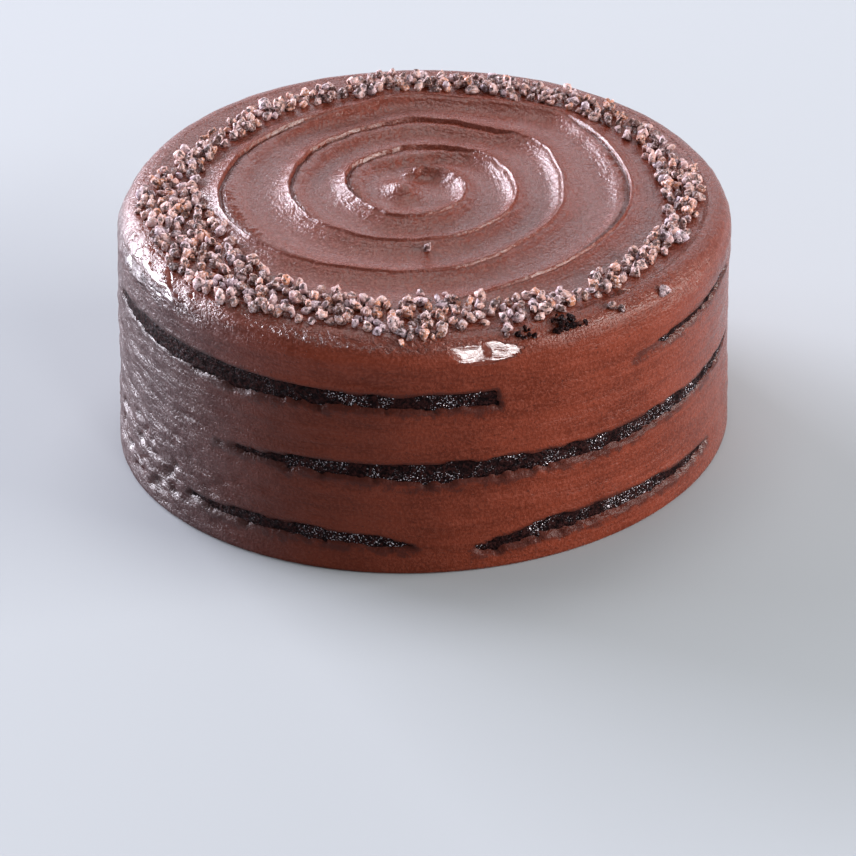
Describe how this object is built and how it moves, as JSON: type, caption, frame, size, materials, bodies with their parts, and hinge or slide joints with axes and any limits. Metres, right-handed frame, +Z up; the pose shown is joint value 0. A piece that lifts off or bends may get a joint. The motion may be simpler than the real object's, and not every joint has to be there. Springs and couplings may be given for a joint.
{
  "type": "chocolate truffle cake",
  "caption": "Round layered chocolate cake coated in frosting, with a drawn spiral on top, a ring of chopped nibs near the rim and dark sponge showing in bands at the side.",
  "frame": {"origin": "middle of the cake's underside, where the cake rests", "axes": "+Z up through the cake, -Y towards the side that the picture shows, +X to that view's right"},
  "size_m": [0.2078, 0.206, 0.0901],
  "materials": {
    "frosting": "satin chocolate frosting",
    "sponge": "dark moist crumb"
  },
  "bodies": {
    "root": {"frosting": "frosting", "sponge_bottom": "sponge", "sponge_middle": "sponge", "sponge_top": "sponge"}
  },
  "joints": []
}
